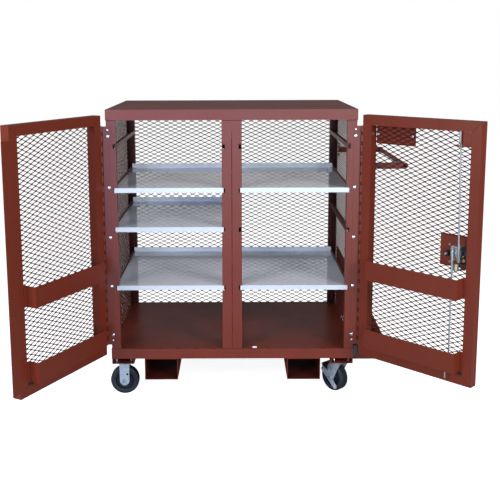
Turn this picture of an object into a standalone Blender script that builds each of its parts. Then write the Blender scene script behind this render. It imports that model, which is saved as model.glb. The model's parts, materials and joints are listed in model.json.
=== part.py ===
"""Two-door storage cabinet with expanded-metal walls, on four casters.

Every piece is modelled in cabinet coordinates: X to the right from the middle,
Y backwards from the front face of the posts, Z up from the underside of the
base, in metres. The empty "cabinet" carries these coordinates to the finished
frame, where Z = 0 is the floor and the whole object is centred on X and Y.
"""
import math

import bmesh
import bpy
from mathutils import Vector

# ---------------------------------------------------------------- dimensions
GAP = 0.0003                # clearance between pieces that touch
SHEET = 0.002               # sheet-metal thickness
HEAVY = 0.003               # heavier plate

CLEARANCE = 0.220           # underside of the base above the floor
WIDTH = 1.270
DEPTH = 0.817
TOP = 1.308                 # top of the body above the base underside
FLOOR_TOP = 0.054
FLANGE = 0.0534             # drop of the top panel's flanges
CAP_LIP = 0.003             # the top panel stands this far proud of the posts

POST_OUT = 0.632            # outer face of the corner posts
POST_FACE = 0.0465          # width of a corner post's face
POST_DEEP = 0.042           # depth of a post's flanges
POST_WALL = 0.0025
CENTRE_HALF = 0.051         # half width of the centre posts
POST_IN = POST_OUT - POST_FACE

LEVELS = (1.134, 0.909, 0.705, 0.396)   # tops of the four shelf positions
NOTCH_DEEP = 0.0165
NOTCH_TALL = 0.0254
LEFT_SHELVES = (1, 2, 3)    # levels that hold a shelf, counted from the top
RIGHT_SHELVES = (1, 3)
SHELF_IN = 0.0425           # shelf edge beside the centre
SHELF_OUT = 0.598           # shelf edge beside the wall
SHELF_FRONT = 0.005         # the front lip stands just behind the posts' front web
SHELF_BACK = 0.750
SHELF_LIP = 0.0245
SHELF_RISE = 0.027          # height of the rear lip above the deck
RAIL_FRONT = 0.0085         # rails start behind the shelves' front lips

SEAM_SLOTS = ((1.164, 0.996), (0.986, 0.874), (0.860, 0.715), (0.690, 0.590),
              (0.510, 0.440), (0.430, 0.345), (0.250, 0.145))
SEAM_WIDTH = 0.0026

MESH_THICK = 0.0012
POCKET_IN, POCKET_OUT, POCKET_LOW = 0.2885, 0.462, -0.1155
CHANNEL_IN, CHANNEL_OUT, CHANNEL_LOW = 0.518, 0.635, -0.0295
SLOT_X, SLOT_Y = (0.106, 0.128), (0.011, 0.042)     # rod slot in the floor

PIVOT_X, PIVOT_Y = 0.6549, -0.0075      # hinge axes
KNUCKLE = 0.006
LEAF_THICK = 0.0015
HINGE_LOW, HINGE_HIGH = 0.0785, 1.2247
LEFT_OPEN, RIGHT_OPEN = math.radians(118.08), math.radians(135.55)

DOOR_NEAR, DOOR_FAR = 0.0066, 0.652     # door edges, measured from the pivot
DOOR_LOW, DOOR_HIGH = 0.0294, 1.2804
DOOR_FACE = 0.0025          # inner face of a door, from the pivot
DOOR_THICK = 0.0469
STILE = 0.050
BIN_NEAR, BIN_FAR, BIN_DEEP = 0.080, 0.590, 0.057
BIN_LOWS = (0.453, 0.097)
BIN_TALL = 0.099
STRIP_LOW, STRIP_HIGH, STRIP_REACH = 0.060, 1.215, 0.050

LOCK_NEAR, LOCK_FAR, LOCK_LOW, LOCK_HIGH = 0.442, 0.5995, 0.585, 0.740
CAM_AT, CAM_Z = 0.543, 0.664            # middle of the cam on the right door
ROD_OFFSET = 0.011          # rods run this far either side of the cam's middle
ROD_RADIUS = 0.004
ROD_RUN = 0.0048            # distance of the rods from the door's inner face
ROD_END_LOW, ROD_END_HIGH = 0.0555, 1.236

CASTER_X, CASTER_Y = 0.578, 0.085
WHEEL_RADIUS, WHEEL_HALF, WHEEL_Z = 0.0762, 0.0254, -0.1438
BORE, AXLE = 0.0067, 0.0064
LEG_IN, LEG_WALL = 0.0294, 0.004
PLATE_LONG, PLATE_WIDE, PLATE_THICK = 0.114, 0.102, 0.006
PLATE_LOW = CHANNEL_LOW - GAP - PLATE_THICK
TRAIL = 0.038
SWIVEL_REST = math.radians(129.7)       # direction in which the swivel casters trail

HANDLE_Y, HANDLE_Z, HANDLE_REACH = 0.046, 1.0145, 0.8875
HANDLE_TALL = 0.033
ARM_THICK = 0.006
WING_LOW, WING_HIGH, WING_REACH = -0.022, 0.424, 0.858

PAINT = (0.150, 0.035, 0.026)
SHELF_GREY = (0.62, 0.64, 0.70)
ZINC = (0.62, 0.64, 0.68)
RUBBER = (0.025, 0.028, 0.040)


# ------------------------------------------------------------------- helpers
def material(name, colour, roughness, metallic):
    """A plain Principled material."""
    made = bpy.data.materials.new(name)
    made.use_nodes = True
    shader = made.node_tree.nodes["Principled BSDF"]
    shader.inputs["Base Color"].default_value = (*colour, 1.0)
    shader.inputs["Roughness"].default_value = roughness
    shader.inputs["Metallic"].default_value = metallic
    made.diffuse_color = (*colour, 1.0)
    return made


def empty(name, parent, location=(0, 0, 0), turn=0.0):
    """An empty that carries a moving body, turned about Z."""
    made = bpy.data.objects.new(name, None)
    made.parent = parent
    made.location = location
    made.rotation_euler = (0, 0, turn)
    bpy.context.scene.collection.objects.link(made)
    return made


def finish(bm, name):
    """Turn a bmesh into a mesh with its faces pointing out."""
    bmesh.ops.recalc_face_normals(bm, faces=bm.faces)
    mesh = bpy.data.meshes.new(name)
    bm.to_mesh(mesh)
    bm.free()
    return mesh


def node(name, mesh, parent, mat, location=(0, 0, 0), turn=0.0):
    """A named piece."""
    made = bpy.data.objects.new(name, mesh)
    made.parent = parent
    made.location = location
    made.rotation_euler = (0, 0, turn)
    if not mesh.materials:
        mesh.materials.append(mat)
    bpy.context.scene.collection.objects.link(made)
    return made


def place(axis, u, v, along):
    """A point given in the plane square to an axis, and along that axis."""
    return {"X": (along, u, v), "Y": (u, along, v), "Z": (u, v, along)}[axis]


def prism(outline, axis, low, high):
    """A flat outline extruded along an axis from low to high."""
    bm = bmesh.new()
    verts = [bm.verts.new(place(axis, u, v, low)) for u, v in outline]
    face = bm.faces.new(verts)
    grown = bmesh.ops.extrude_face_region(bm, geom=[face])
    moved = [g for g in grown["geom"] if isinstance(g, bmesh.types.BMVert)]
    bmesh.ops.translate(bm, verts=moved, vec=place(axis, 0, 0, high - low))
    return finish(bm, "prism")


def box(x, y, z):
    """A block between pairs of limits."""
    (x0, x1), (y0, y1), (z0, z1) = sorted(x), sorted(y), sorted(z)
    return prism([(x0, y0), (x1, y0), (x1, y1), (x0, y1)], "Z", z0, z1)


def boxes(limits):
    """Several blocks in one mesh."""
    bm = bmesh.new()
    for x, y, z in limits:
        bm.from_mesh(box(x, y, z))
    return finish(bm, "boxes")


def rod(radius, axis, centre, low, high, steps=20):
    """A round bar along an axis; centre is its place square to that axis."""
    ring = [(centre[0] + radius * math.cos(math.tau * i / steps),
             centre[1] + radius * math.sin(math.tau * i / steps))
            for i in range(steps)]
    return prism(ring, axis, low, high)


def turned(profile, steps):
    """A closed profile of (radius, height along Y) spun about the Y axis."""
    bm = bmesh.new()
    verts = [bm.verts.new((0, along, -radius)) for radius, along in profile]
    edges = [bm.edges.new((verts[i - 1], verts[i])) for i in range(len(verts))]
    bmesh.ops.spin(bm, geom=verts + edges, cent=(0, 0, 0), axis=(0, 1, 0),
                   angle=math.tau, steps=steps, use_merge=True)
    bmesh.ops.remove_doubles(bm, verts=bm.verts, dist=1e-6)
    return finish(bm, "turned")


def bar_along(points, radius, steps=12):
    """A round bar that follows points in an XZ or YZ plane, mitred at bends."""
    bm = bmesh.new()
    rings = []
    path = [Vector(p) for p in points]
    for i, here in enumerate(path):
        before = (here - path[i - 1]).normalized() if i else None
        after = (path[i + 1] - here).normalized() if i + 1 < len(path) else None
        tangent = ((before or after) + (after or before)).normalized()
        side = Vector((1, 0, 0))
        across = tangent.cross(side).normalized()
        run = before or after
        stretch = 1.0 / max(0.3, abs(tangent.dot(run)))
        ring = []
        for k in range(steps):
            turn = math.tau * (k + 0.5) / steps
            offset = side * math.cos(turn) + across * math.sin(turn) * stretch
            ring.append(bm.verts.new(here + offset * radius))
        rings.append(ring)
    for low, high in zip(rings, rings[1:]):
        for k in range(steps):
            j = (k + 1) % steps
            bm.faces.new((low[k], low[j], high[j], high[k]))
    bm.faces.new(rings[0][::-1])
    bm.faces.new(rings[-1])
    return finish(bm, "bar")


def shape(piece, mesh, operation):
    """Cut a mesh from a piece, or weld one to it."""
    tool = bpy.data.objects.new(piece.name + "_tool", mesh)
    tool.parent = piece.parent
    tool.location = piece.location
    tool.rotation_euler = piece.rotation_euler
    tool.hide_render = True
    tool.display_type = "WIRE"
    bpy.context.scene.collection.objects.link(tool)
    change = piece.modifiers.new("shape", "BOOLEAN")
    change.operation = operation
    change.object = tool
    change.solver = "EXACT"


def cut(piece, mesh):
    shape(piece, mesh, "DIFFERENCE")


def weld(piece, mesh):
    shape(piece, mesh, "UNION")


def smooth(piece):
    """Smooth shading with sharp edges kept."""
    piece.data.shade_smooth()
    piece.data.set_sharp_from_angle(angle=math.radians(40))


# ----------------------------------------------------------------- body frame
def top_panel(parent, paint):
    half = WIDTH / 2
    front, back = -CAP_LIP, DEPTH + CAP_LIP + MESH_THICK + GAP
    low = TOP - FLANGE
    piece = node("top_panel", box((-half, half), (front, back), (low, TOP)), parent, paint)
    cut(piece, box((-half + SHEET, half - SHEET), (front + SHEET, back - SHEET),
                   (low - SHEET, TOP - SHEET)))
    return piece


def base_pan(parent, paint):
    """Floor with four flanges, and the two caster channels welded below it."""
    half = WIDTH / 2
    piece = node("base_pan", box((-half, half), (0, DEPTH), (0, FLOOR_TOP)), parent, paint)
    cut(piece, box((-half + HEAVY, half - HEAVY), (HEAVY, DEPTH - HEAVY),
                   (-HEAVY, FLOOR_TOP - HEAVY)))
    cut(piece, box(SLOT_X, SLOT_Y, (0, TOP)))
    for side in (-1, 1):
        outline = channel_outline(side)
        weld(piece, prism(outline, "Y", SHEET, DEPTH - SHEET))
    return piece


def channel_outline(side):
    """U section of a caster channel, its legs let into the base flanges."""
    inner, outer = CHANNEL_IN, CHANNEL_OUT - HEAVY / 2
    low, high = CHANNEL_LOW, HEAVY
    points = [(inner, high), (inner, low), (outer, low), (outer, high),
              (outer - HEAVY, high), (outer - HEAVY, low + HEAVY),
              (inner + HEAVY, low + HEAVY), (inner + HEAVY, high)]
    return [(side * x, z) for x, z in points]


def corner_post(name, side, back, parent, paint):
    """C section with its web facing front or rear, notched for the shelves."""
    low, high = FLOOR_TOP + GAP, TOP - SHEET - GAP
    web, tip = (DEPTH, DEPTH - POST_DEEP) if back else (0, POST_DEEP)
    step = -POST_WALL if back else POST_WALL
    outer, inner = POST_OUT, POST_IN
    outline = [(outer, web), (outer, tip), (outer - POST_WALL, tip),
               (outer - POST_WALL, web + step), (inner + POST_WALL, web + step),
               (inner + POST_WALL, tip), (inner, tip), (inner, web)]
    piece = node(name, prism([(side * x, y) for x, y in outline], "Z", low, high),
                 parent, paint)
    if back:
        notch_y = (DEPTH - POST_DEEP - 0.01, DEPTH - POST_WALL - GAP)
    else:
        notch_y = (-0.01, POST_DEEP + 0.01)
    cut(piece, boxes([((side * (inner - 0.01), side * (inner + NOTCH_DEEP)), notch_y,
                       (level - NOTCH_TALL, level + 0.001)) for level in LEVELS]))
    return piece


def centre_divider(parent, paint):
    """Front and rear centre posts joined by four wide shelf rails."""
    low, high = FLOOR_TOP + GAP, TOP - SHEET - GAP
    half, wall = CENTRE_HALF, POST_WALL
    outline = [(half, 0), (half, POST_DEEP), (half - wall, POST_DEEP), (half - wall, wall),
               (wall - half, wall), (wall - half, POST_DEEP), (-half, POST_DEEP), (-half, 0)]
    piece = node("centre_divider", prism(outline, "Z", low, high), parent, paint)
    rear = [(x, DEPTH - y) for x, y in outline]
    weld(piece, prism(rear, "Z", low, high))
    notches = []
    for level in LEVELS:
        for side in (-1, 1):
            x = (side * (half + 0.01), side * (half - NOTCH_DEEP))
            notches.append((x, (-0.01, POST_DEEP + 0.01), (level - NOTCH_TALL, level + 0.001)))
            notches.append((x, (DEPTH - POST_DEEP - 0.01, DEPTH - wall - GAP),
                            (level - NOTCH_TALL, level + 0.001)))
    cut(piece, boxes(notches))
    cut(piece, boxes([((-SEAM_WIDTH / 2, SEAM_WIDTH / 2), (-0.01, 0.01), pair)
                      for pair in SEAM_SLOTS]))
    for level in LEVELS:
        weld(piece, rail_mesh(-half + 0.0006, half - 0.0006, level, wall - 0.0007,
                              DEPTH - wall + 0.0007))
    cut(piece, boxes([((side * (half + 0.01), side * (half - NOTCH_DEEP)), (-0.01, RAIL_FRONT),
                       (level - NOTCH_TALL, level + 0.001))
                      for level in LEVELS for side in (-1, 1)]))
    return piece


def rail_mesh(x0, x1, level, front, back):
    """An upside-down U section that runs from front to back."""
    top = level - SHEET - GAP
    low = level - NOTCH_TALL + GAP
    outline = [(x0, low), (x0, top), (x1, top), (x1, low), (x1 - SHEET, low),
               (x1 - SHEET, top - SHEET), (x0 + SHEET, top - SHEET), (x0 + SHEET, low)]
    return prism(outline, "Y", front, back)


def shelf_rails(parent, paint):
    """Rails along the walls; one with no shelf on it shows through its notch."""
    back = DEPTH - POST_WALL - GAP
    for side, word, shelved in ((-1, "left", LEFT_SHELVES), (1, "right", RIGHT_SHELVES)):
        for index, level in enumerate(LEVELS):
            x = sorted((side * (POST_IN + 0.0005), side * (POST_IN + NOTCH_DEEP - 0.0005)))
            front = RAIL_FRONT if index in shelved else -0.001
            node(f"shelf_rail_{word}_{index + 1}", rail_mesh(*x, level, front, back), parent,
                 paint)


def wall_meshes(parent, paint):
    """Expanded-metal panels as thin sheets: two sides and the back."""
    low, high = FLOOR_TOP + GAP, TOP - SHEET - GAP
    outer = POST_OUT - POST_WALL - GAP
    for side, word in ((-1, "left"), (1, "right")):
        node(f"side_mesh_{word}", box((side * (outer - MESH_THICK), side * outer),
                                      (0.020, DEPTH - 0.020), (low, high)), parent, paint)
    half = POST_IN + 0.015
    node("back_mesh", box((-half, half), (DEPTH + GAP, DEPTH + GAP + MESH_THICK),
                          (FLOOR_TOP - 0.020, TOP - FLANGE - GAP)), parent, paint)


def shelf_profile(level):
    """Section of a shelf across its depth: front lip down, rear lip up."""
    front, back, low = SHELF_FRONT, SHELF_BACK, level - SHELF_LIP
    return [(front, low), (front, level), (back - SHEET, level),
            (back - SHEET, level + SHELF_RISE), (back, level + SHELF_RISE),
            (back, level - SHEET), (front + SHEET, level - SHEET), (front + SHEET, low)]


def shelves(bodies, grey):
    """Shelf pieces, each on its own sliding body."""
    for word, side, levels in (("left", -1, LEFT_SHELVES), ("right", 1, RIGHT_SHELVES)):
        for index in levels:
            name = f"shelf_{word}_{index + 1}"
            x = sorted((side * SHELF_IN, side * SHELF_OUT))
            node(name, prism(shelf_profile(LEVELS[index]), "X", *x), bodies[name], grey)


def fork_pockets(parent, paint):
    """Rectangular tubes for a fork lift, open at both ends."""
    for side, word in ((-1, "left"), (1, "right")):
        x = (side * POCKET_IN, side * POCKET_OUT)
        inner = (side * (POCKET_IN + HEAVY), side * (POCKET_OUT - HEAVY))
        piece = node(f"fork_pocket_{word}", box(x, (0, DEPTH), (POCKET_LOW, -GAP)),
                     parent, paint)
        cut(piece, box(inner, (-0.01, DEPTH + 0.01), (POCKET_LOW + HEAVY, -GAP - HEAVY)))


# ---------------------------------------------------------------------- doors
def span(hand, near, far):
    """Limits along a closed door, whose free edge points to +X on the left door."""
    return sorted((hand * near, hand * far))


def door_frame(word, hand, parent, paint):
    """Rectangular tube bent round the door opening, with drain holes below."""
    face, rear = DOOR_FACE, DOOR_FACE - DOOR_THICK
    near, far, low, high = DOOR_NEAR, DOOR_FAR, DOOR_LOW, DOOR_HIGH
    piece = node(f"door_frame_{word}", box(span(hand, near, far), (rear, face), (low, high)),
                 parent, paint)
    cut(piece, box(span(hand, near + STILE, far - STILE), (rear - 0.01, face + 0.01),
                   (low + STILE, high - STILE)))
    wall = SHEET
    inside = [(span(hand, near + wall, near + STILE - wall), (rear + wall, face - wall),
               (low + wall, high - wall)),
              (span(hand, far - STILE + wall, far - wall), (rear + wall, face - wall),
               (low + wall, high - wall))]
    across = span(hand, near + STILE - 2 * wall, far - STILE + 2 * wall)
    rails = [(across, (rear + wall, face - wall), (low + wall, low + STILE - wall)),
             (across, (rear + wall, face - wall), (high - STILE + wall, high - wall))]
    middle = (face + rear) / 2
    drains = [((hand * at - 0.004, hand * at + 0.004), (middle - 0.004, middle + 0.004),
               (low - 0.01, low + 0.01)) for at in (0.05, 0.33, 0.61)]
    cut(piece, boxes(inside))
    cut(piece, boxes(rails))
    cut(piece, boxes(drains))
    return piece


def door_mesh(word, hand, parent, paint):
    """Expanded-metal panel set inside the frame, flush with its outer face."""
    rear = DOOR_FACE - DOOR_THICK
    x = span(hand, DOOR_NEAR + STILE + GAP, DOOR_FAR - STILE - GAP)
    piece = node(f"door_mesh_{word}", box(x, (rear + 0.001, rear + 0.001 + MESH_THICK),
                                          (DOOR_LOW + STILE + GAP, DOOR_HIGH - STILE - GAP)),
                 parent, paint)
    if hand < 0:
        cut(piece, rod(0.0095, "Y", (-CAM_AT, CAM_Z), rear - 0.01, rear + 0.01))


def door_bin(name, hand, low, parent, paint):
    """Shallow tray: front, two ends with flanges, and a bottom."""
    back = DOOR_FACE + GAP
    front = DOOR_FACE + BIN_DEEP
    near, far, wall = BIN_NEAR, BIN_FAR, SHEET
    outline = [(0.042, back), (near + wall, back), (near + wall, front - wall),
               (far - wall, front - wall), (far - wall, back), (0.6045, back),
               (0.6045, back + wall), (far, back + wall), (far, front), (near, front),
               (near, back + wall), (0.042, back + wall)]
    piece = node(name, prism([(hand * x, y) for x, y in outline], "Z", low, low + BIN_TALL),
                 parent, paint)
    weld(piece, box(span(hand, near + wall / 2, far - wall / 2), (back + 0.001, front - wall / 2),
                    (low, low + wall)))
    if hand < 0:
        lower_rod = CAM_AT - ROD_OFFSET
        cut(piece, box(span(hand, lower_rod - 0.007, lower_rod + 0.007),
                       (back - 0.01, back + 0.012), (low - 0.01, low + 0.01)))
    return piece


def hinge_strip(word, hand, parent, paint):
    """Continuous hinge: leaf on the post and its barrel."""
    y = (-PIVOT_Y - GAP - LEAF_THICK, -PIVOT_Y - GAP)
    leaf_x = (hand * (PIVOT_X - 0.617), 0.0)
    piece = node(f"hinge_{word}", box(leaf_x, y, (HINGE_LOW, HINGE_HIGH)), parent, paint,
                 location=(-hand * PIVOT_X, PIVOT_Y, 0))
    weld(piece, rod(KNUCKLE, "Z", (0, 0), HINGE_LOW - 0.002, HINGE_HIGH + 0.002, 16))
    return piece


def overlap_strip(parent, paint):
    """Strip along the free edge of the left door, which closes the middle gap."""
    y = (DOOR_FACE + GAP, DOOR_FACE + GAP + 0.0024)
    x = (DOOR_FAR - 0.020, DOOR_FAR + STRIP_REACH)
    node("overlap_strip", box(x, y, (STRIP_LOW, STRIP_HIGH)), parent, paint)


def sign_plate(parent, paint):
    """Blank plate bolted outside the right door's mesh."""
    rear = DOOR_FACE - DOOR_THICK
    node("blank_plate", box(span(-1, DOOR_NEAR + STILE + 0.002, 0.283),
                            (rear - 0.0035, rear - 0.0005),
                            (1.137, 1.2295)), parent, paint)


def lock_plate(parent, paint):
    """Plate behind the lock, with a hole for the cam spindle."""
    rear = DOOR_FACE - DOOR_THICK + 0.0025
    piece = node("lock_plate", box(span(-1, LOCK_NEAR, LOCK_FAR), (rear, rear + HEAVY),
                                   (LOCK_LOW, LOCK_HIGH)), parent, paint)
    cut(piece, rod(0.0095, "Y", (-CAM_AT, CAM_Z), rear - 0.01, rear + 0.01))
    return piece


def lock_case(parent, zinc):
    """Case of the rod lock, a ring round the spindle with feet on the plate."""
    low = DOOR_FACE - DOOR_THICK + 0.0025 + HEAVY + GAP
    high = DOOR_FACE - 0.012
    x = span(-1, CAM_AT - 0.034, CAM_AT + 0.030)
    piece = node("lock_case", box(x, (low, high), (CAM_Z - 0.034, CAM_Z + 0.034)), parent, zinc)
    cut(piece, rod(0.0095, "Y", (-CAM_AT, CAM_Z), low - 0.01, high + 0.01))
    return piece


def latch(parent, zinc):
    """Outside lever, spindle and inner cam; its origin is on the spindle's axis."""
    spindle_low = DOOR_FACE - DOOR_THICK - 0.030
    cam_low = DOOR_FACE - 0.0115
    piece = node("latch_lever", rod(0.0085, "Y", (0, 0), spindle_low - 0.004, cam_low + 0.001),
                 parent, zinc)
    cam = [(-0.026, -0.011), (0.026, -0.011), (0.026, 0.011), (-0.026, 0.011)]
    weld(piece, prism(cam, "Y", cam_low, cam_low + HEAVY))
    lever = [(-0.016, 0.016), (-0.020, -0.010), (-0.011, -0.100), (0.011, -0.100),
             (0.020, -0.010), (0.016, 0.016)]
    weld(piece, prism(lever, "Y", spindle_low - 0.010, spindle_low))
    return piece


def rods(upper, lower, zinc):
    """Rods that the cam drives up and down, bent to pass behind the frame."""
    y = DOOR_FACE + ROD_RUN
    inward = DOOR_FACE + 0.031
    behind = DOOR_FACE + 0.014
    x = -CAM_AT - ROD_OFFSET
    top = [(x, y, CAM_Z - 0.025), (x, y, 1.170), (x, behind, 1.182), (x, behind, ROD_END_HIGH)]
    x = -CAM_AT + ROD_OFFSET
    low = [(x, y, CAM_Z + 0.025), (x, y, 0.0945), (x, inward, 0.0835), (x, inward, ROD_END_LOW)]
    node("lock_rod_upper", bar_along(top, ROD_RADIUS), upper, zinc)
    node("lock_rod_lower", bar_along(low, ROD_RADIUS), lower, zinc)


def rod_guide(parent, paint):
    """Bracket between the upper rod and the stile, its ledge bored for the rod."""
    near, far = CAM_AT + ROD_OFFSET - 0.0085, LOCK_FAR + 0.002
    low, high, back = 1.1625, DOOR_HIGH - STILE - 0.0004, DOOR_FACE - 0.030
    piece = node("rod_guide", box((-far, -near), (DOOR_FACE - SHEET, DOOR_FACE), (low, high)),
                 parent, paint)
    weld(piece, box((-near - SHEET, -near), (back, DOOR_FACE), (low, high)))
    weld(piece, box((-far, 0.024 - near), (back, DOOR_FACE + 0.011), (low, low + SHEET)))
    cut(piece, rod(ROD_RADIUS + 0.0006, "Z", (-CAM_AT - ROD_OFFSET, DOOR_FACE + ROD_RUN),
                   low - 0.01, low + 0.01))


# -------------------------------------------------------------- running gear
def wheel_mesh():
    """Hard-rubber wheel with a bore, turned about the Y axis."""
    r, half = WHEEL_RADIUS, WHEEL_HALF
    hub = LEG_IN - GAP
    profile = [(BORE, -hub), (0.019, -hub), (0.021, -half + 0.008), (0.050, -half + 0.008),
               (0.056, -half), (r - 0.010, -half), (r, -half + 0.010), (r, half - 0.010),
               (r - 0.010, half), (0.056, half), (0.050, half - 0.008), (0.021, half - 0.008),
               (0.019, hub), (BORE, hub)]
    return turned(profile, 28)


def leg_outline(points, centre, radius, steps=8):
    """Outline of a fork leg: points at the top, a half round at the axle."""
    arc = [(centre[0] + radius * math.cos(-math.pi * i / steps),
            centre[1] + radius * math.sin(-math.pi * i / steps)) for i in range(steps + 1)]
    return points + arc


def add_legs(piece, outline):
    for side in (-1, 1):
        weld(piece, prism(outline, "Y", side * LEG_IN, side * (LEG_IN + LEG_WALL)))


def rigid_fork(name, y, parent, zinc):
    """Fixed caster: mounting plate, two legs and the axle bolt."""
    long, wide = PLATE_LONG / 2, PLATE_WIDE / 2
    piece = node(name, box((-long, long), (-wide, wide), (PLATE_LOW, PLATE_LOW + PLATE_THICK)),
                 parent, zinc, location=(-CASTER_X, y, 0))
    top = PLATE_LOW + 0.001
    outline = leg_outline([(-0.0255, WHEEL_Z), (-0.0255, -0.075), (-0.0290, top),
                           (0.0290, top), (0.0255, -0.075)], (0, WHEEL_Z), 0.0255)
    add_legs(piece, outline[1:])
    weld(piece, axle_mesh(0))
    return piece


def axle_mesh(x):
    """Axle bolt, whose ends stand out of the legs."""
    end = LEG_IN + LEG_WALL + 0.007
    return rod(AXLE, "Y", (x, WHEEL_Z), -end, end, 16)


def swivel_plate(name, y, parent, zinc):
    """Mounting plate of a swivel caster with its ball race and kingpin."""
    long, wide = PLATE_LONG / 2, PLATE_WIDE / 2
    piece = node(name, box((-long, long), (-wide, wide), (PLATE_LOW, PLATE_LOW + PLATE_THICK)),
                 parent, zinc, location=(CASTER_X, y, 0))
    weld(piece, rod(0.036, "Z", (0, 0), PLATE_LOW - 0.0065, PLATE_LOW + 0.001, 32))
    weld(piece, rod(0.0075, "Z", (0, 0), PLATE_LOW - 0.020, PLATE_LOW, 16))
    return piece


def swivel_fork(name, parent, zinc):
    """Turning fork: crown with a bore for the kingpin, raked legs and the axle."""
    high = PLATE_LOW - 0.0065 - GAP
    low = high - 0.004
    edge = LEG_IN + LEG_WALL
    piece = node(name, box((-0.036, 0.036), (-edge, edge), (low, high)), parent, zinc)
    outline = leg_outline([(0.036, high - 0.001), (0.060, -0.085), (TRAIL + 0.021, WHEEL_Z)],
                          (TRAIL, WHEEL_Z), 0.021)
    outline = outline[:2] + outline[3:] + [(-0.010, -0.085), (-0.036, high - 0.001)]
    add_legs(piece, outline)
    weld(piece, axle_mesh(TRAIL))
    cut(piece, rod(0.0080, "Z", (0, 0), low - 0.01, high + 0.01, 16))
    return piece


def brake_pedal(name, parent, dark):
    """Pedal on a pin between the legs; its origin is on the pin."""
    plate = [(-0.004, 0.0015), (-0.004, -0.0015), (0.034, -0.0150), (0.034, -0.0120)]
    piece = node(name, prism(plate, "Y", -0.028, 0.028), parent, dark)
    pad = [(0.031, -0.0105), (0.031, -0.0140), (0.062, -0.0250), (0.072, -0.0330),
           (0.0745, -0.0310), (0.064, -0.0215)]
    weld(piece, prism(pad, "Y", -0.040, 0.040))
    weld(piece, rod(0.003, "Y", (0, 0), -LEG_IN + GAP, LEG_IN - GAP, 12))
    return piece


# ------------------------------------------------------------ right-side parts
def push_handle(parent, paint):
    """Two flat arms with round ends and feet, and a tube between them."""
    half, reach = HANDLE_TALL / 2, HANDLE_REACH
    front, back = HANDLE_Y, DEPTH - HANDLE_Y
    foot = POST_OUT + 0.0035
    steps = 8
    arc = [(reach + half * math.cos(math.pi * (i / steps - 0.5)),
            HANDLE_Z + half * math.sin(math.pi * (i / steps - 0.5))) for i in range(steps + 1)]
    outline = [(foot, HANDLE_Z + half), (foot, HANDLE_Z - half)] + arc
    piece = node("push_handle", prism(outline, "Y", front, front + ARM_THICK), parent, paint)
    weld(piece, prism(outline, "Y", back - ARM_THICK, back))
    weld(piece, rod(0.0130, "Y", (reach, HANDLE_Z), front + 0.001, back - 0.001, 20))
    for low, high in ((front, front + 0.034), (back - 0.034, back)):
        weld(piece, box((foot, foot + HEAVY), (low, high),
                        (HANDLE_Z - 0.045, HANDLE_Z + 0.045)))
    return piece


def wing_gussets(parent, paint):
    """Triangular plates low on the right side, with a flange along the slope."""
    near = POST_OUT + 0.0035
    outline = [(near, WING_LOW), (WING_REACH, WING_LOW), (WING_REACH, WING_LOW + 0.006),
               (near + 0.006, WING_HIGH), (near, WING_HIGH)]
    for word, low, step in (("front", HANDLE_Y, 1), ("rear", DEPTH - HANDLE_Y, -1)):
        y = sorted((low, low + step * HEAVY))
        piece = node(f"wing_gusset_{word}", prism(outline, "Y", *y), parent, paint)
        foot = sorted((low, low + step * 0.026))
        weld(piece, box((near, near + HEAVY), foot, (WING_LOW, WING_HIGH)))


def bumper(parent, rubber):
    """Rubber block on the lower right corner, which the open door meets."""
    x = (WIDTH / 2 + GAP, PIVOT_X - 0.0005)
    node("rubber_bumper", box(x, (0.001, 0.030), (0.017, 0.070)), parent, rubber)


# --------------------------------------------------------------------- object
def build_bodies(root):
    """Empties on the joint axes, one for each moving body."""
    left = empty("left_door", root, (-PIVOT_X, PIVOT_Y, 0), -LEFT_OPEN)
    right = empty("right_door", root, (PIVOT_X, PIVOT_Y, 0), RIGHT_OPEN)
    bodies = {"left_door": left, "right_door": right}
    bodies["latch"] = empty("latch", right, (-CAM_AT, 0, CAM_Z))
    bodies["rod_upper"] = empty("rod_upper", right)
    bodies["rod_lower"] = empty("rod_lower", right)
    for word, levels in (("left", LEFT_SHELVES), ("right", RIGHT_SHELVES)):
        for index in levels:
            name = f"shelf_{word}_{index + 1}"
            bodies[name] = empty(name + "_slide", root)
    for end, y in (("front", CASTER_Y), ("rear", DEPTH - CASTER_Y)):
        bodies[f"wheel_left_{end}"] = empty(f"wheel_left_{end}_axle", root,
                                            (-CASTER_X, y, WHEEL_Z))
        swivel = empty(f"swivel_{end}", root, (CASTER_X, y, 0), SWIVEL_REST)
        bodies[f"swivel_{end}"] = swivel
        bodies[f"wheel_right_{end}"] = empty(f"wheel_right_{end}_axle", swivel,
                                             (TRAIL, 0, WHEEL_Z))
        bodies[f"pedal_{end}"] = empty(f"pedal_{end}", swivel, (0.030, 0, -0.0525))
    return bodies


def build_frame(root, paint):
    top_panel(root, paint)
    base_pan(root, paint)
    for side, word in ((-1, "left"), (1, "right")):
        corner_post(f"post_front_{word}", side, False, root, paint)
        corner_post(f"post_rear_{word}", side, True, root, paint)
    centre_divider(root, paint)
    shelf_rails(root, paint)
    wall_meshes(root, paint)
    fork_pockets(root, paint)


def build_doors(root, bodies, paint, zinc):
    for word, hand in (("left", 1), ("right", -1)):
        body = bodies[f"{word}_door"]
        door_frame(word, hand, body, paint)
        door_mesh(word, hand, body, paint)
        for place_word, low in zip(("upper", "lower"), BIN_LOWS):
            door_bin(f"door_bin_{word}_{place_word}", hand, low, body, paint)
        hinge_strip(word, hand, root, paint)
    overlap_strip(bodies["left_door"], paint)
    sign_plate(bodies["right_door"], paint)
    lock_plate(bodies["right_door"], paint)
    lock_case(bodies["right_door"], zinc)
    rod_guide(bodies["right_door"], paint)
    latch(bodies["latch"], zinc)
    rods(bodies["rod_upper"], bodies["rod_lower"], zinc)


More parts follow.
